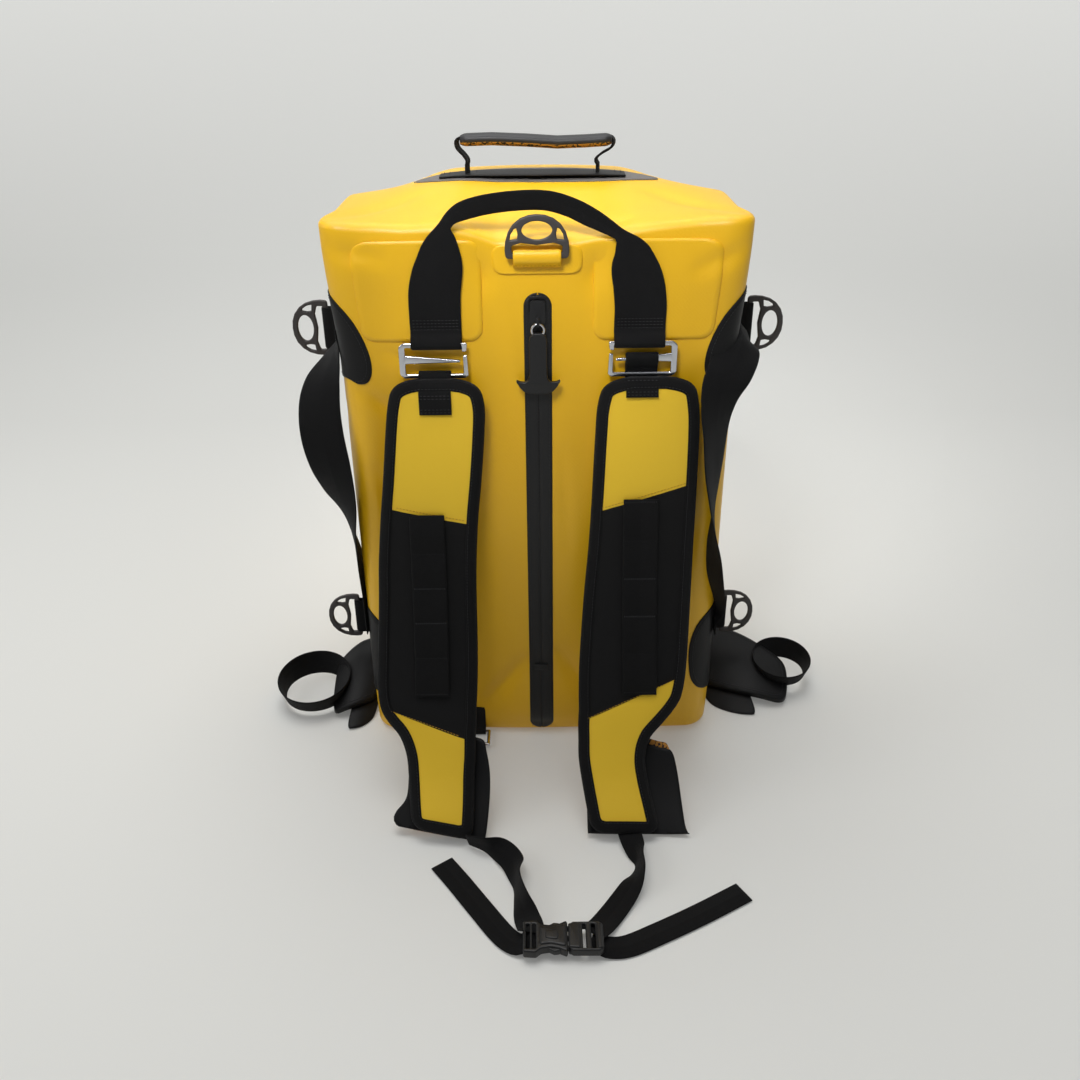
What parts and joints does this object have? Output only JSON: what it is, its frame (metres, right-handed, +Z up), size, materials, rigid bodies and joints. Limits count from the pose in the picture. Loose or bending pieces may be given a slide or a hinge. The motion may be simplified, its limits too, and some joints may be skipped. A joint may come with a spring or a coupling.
{
  "type": "motorcycle tail bag",
  "caption": "Upright waterproof tail bag of welded coated fabric with a long front zip, padded backpack straps, carry handles and tie-down rings.",
  "frame": {"origin": "centre of the flat lower end that the bag stands on", "axes": "+Z up along the bag, -Y towards the harness and the zip, +X to the right as seen from the harness side"},
  "size_m": [0.6758, 0.6155, 0.6525],
  "materials": {
    "coated_fabric": "satin coated fabric, welded seams",
    "black_patch": "matt coated fabric",
    "webbing": "woven webbing",
    "pad_fabric": "padded fabric with bound edges",
    "ring_plastic": "moulded, fine texture",
    "hook_metal": "polished",
    "zip_tape": "satin coated tape",
    "slider_metal": "satin",
    "rubber": "satin moulded rubber",
    "board": "matt"
  },
  "bodies": {
    "bag": {"front_panel": "coated_fabric", "back_panel": "coated_fabric", "side_panel_left": "coated_fabric", "side_panel_right": "coated_fabric", "end_panel_top": "coated_fabric", "end_panel_bottom": "coated_fabric", "back_board": "board", "zip_tape_left": "zip_tape", "zip_tape_right": "zip_tape", "zip_dock": "zip_tape", "zip_end_stop": "zip_tape", "front_ring_patch": "coated_fabric", "front_ring_loop": "coated_fabric", "handle_patch_left": "coated_fabric", "handle_patch_right": "coated_fabric", "hook_loop_left": "webbing", "hook_loop_right": "webbing", "lower_loop_left": "webbing", "lower_loop_right": "webbing", "lower_hook_left": "hook_metal", "lower_hook_right": "hook_metal", "adjuster_web_left": "webbing", "adjuster_web_right": "webbing", "top_patch": "black_patch", "upper_patch_left": "black_patch", "upper_patch_right": "black_patch", "lower_patch_left": "black_patch", "lower_patch_right": "black_patch", "side_strap_left": "webbing", "side_strap_right": "webbing"},
    "zip_slider": {"zip_slider": "slider_metal"},
    "zip_pull": {"zip_pull_ring": "slider_metal", "zip_pull": "rubber"},
    "front_ring": {"d_ring_front": "ring_plastic"},
    "upper_ring_left": {"d_ring_upper_left": "ring_plastic"},
    "upper_ring_right": {"d_ring_upper_right": "ring_plastic"},
    "lower_ring_left": {"d_ring_lower_left": "ring_plastic"},
    "lower_ring_right": {"d_ring_lower_right": "ring_plastic"},
    "arch_handle": {"arch_handle": "webbing"},
    "top_handle": {"top_handle_web": "webbing", "top_grip": "rubber"},
    "shoulder_strap_left": {"g_hook_left": "hook_metal", "strap_web_left": "webbing", "shoulder_pad_left": "pad_fabric", "daisy_web_left": "webbing", "grip_wrap_left": "pad_fabric"},
    "shoulder_strap_right": {"g_hook_right": "hook_metal", "strap_web_right": "webbing", "shoulder_pad_right": "pad_fabric", "daisy_web_right": "webbing", "grip_wrap_right": "pad_fabric"},
    "chest_strap": {"chest_web_left": "webbing", "buckle_socket": "ring_plastic"},
    "buckle_plug": {"chest_web_right": "webbing", "buckle_plug": "ring_plastic"},
    "side_wing_left": {"side_wing_left": "pad_fabric", "wing_loop_left": "webbing"},
    "side_wing_right": {"side_wing_right": "pad_fabric", "wing_loop_right": "webbing"}
  },
  "joints": [
    {"name": "zip_run", "type": "slide", "parent": "bag", "child": "zip_slider", "axis": [0, 0, -1], "range_m": [0, 0.4]},
    {"name": "zip_pull_swing", "type": "hinge", "parent": "zip_slider", "child": "zip_pull", "pos_m": [0, -0.1488, 0.498], "axis": [1, 0, 0], "range_deg": [-150, 0]},
    {"name": "front_ring_swing", "type": "hinge", "parent": "bag", "child": "front_ring", "pos_m": [0, -0.1475, 0.563], "axis": [1, 0, 0], "range_deg": [0, 170]},
    {"name": "upper_ring_swing_left", "type": "hinge", "parent": "bag", "child": "upper_ring_left", "pos_m": [-0.228, -0.03, 0.463], "axis": [0, 0, 1], "range_deg": [-80, 80]},
    {"name": "lower_ring_swing_left", "type": "hinge", "parent": "bag", "child": "lower_ring_left", "pos_m": [-0.228, -0.03, 0.096], "axis": [0, 0, 1], "range_deg": [-80, 80]},
    {"name": "upper_ring_swing_right", "type": "hinge", "parent": "bag", "child": "upper_ring_right", "pos_m": [0.228, -0.03, 0.463], "axis": [0, 0, 1], "range_deg": [-80, 80]},
    {"name": "lower_ring_swing_right", "type": "hinge", "parent": "bag", "child": "lower_ring_right", "pos_m": [0.228, -0.03, 0.096], "axis": [0, 0, 1], "range_deg": [-80, 80]},
    {"name": "arch_handle_swing", "type": "hinge", "parent": "bag", "child": "arch_handle", "pos_m": [0, -0.1435, 0.492], "axis": [1, 0, 0], "range_deg": [0, 90]},
    {"name": "top_handle_swing", "type": "hinge", "parent": "bag", "child": "top_handle", "pos_m": [0, 0, 0.6235], "axis": [1, 0, 0], "range_deg": [-45, 45]},
    {"name": "strap_lift_left", "type": "hinge", "parent": "bag", "child": "shoulder_strap_left", "pos_m": [-0.102, -0.1475, 0.478], "axis": [1, 0, 0], "range_deg": [-30, 0]},
    {"name": "strap_lift_right", "type": "hinge", "parent": "bag", "child": "shoulder_strap_right", "pos_m": [0.102, -0.1475, 0.478], "axis": [1, 0, 0], "range_deg": [-30, 0]},
    {"name": "chest_strap_drop", "type": "hinge", "parent": "shoulder_strap_left", "child": "chest_strap", "pos_m": [0, -0.335, 0.003], "axis": [1, 0, 0], "range_deg": [0, 75]},
    {"name": "buckle_release", "type": "slide", "parent": "chest_strap", "child": "buckle_plug", "axis": [1, 0, 0], "range_m": [0, 0.025]},
    {"name": "wing_lift_left", "type": "hinge", "parent": "bag", "child": "side_wing_left", "pos_m": [-0.203, 0.008, 0.004], "axis": [0, 1, 0], "range_deg": [0, 40]},
    {"name": "wing_lift_right", "type": "hinge", "parent": "bag", "child": "side_wing_right", "pos_m": [0.203, 0.008, 0.004], "axis": [0, 1, 0], "range_deg": [-40, 0]}
  ],
  "couplings": [
    {"joint": "strap_lift_right", "follows": "strap_lift_left", "ratio": 1},
    {"joint": "chest_strap_drop", "follows": "strap_lift_left", "ratio": -2.5}
  ]
}
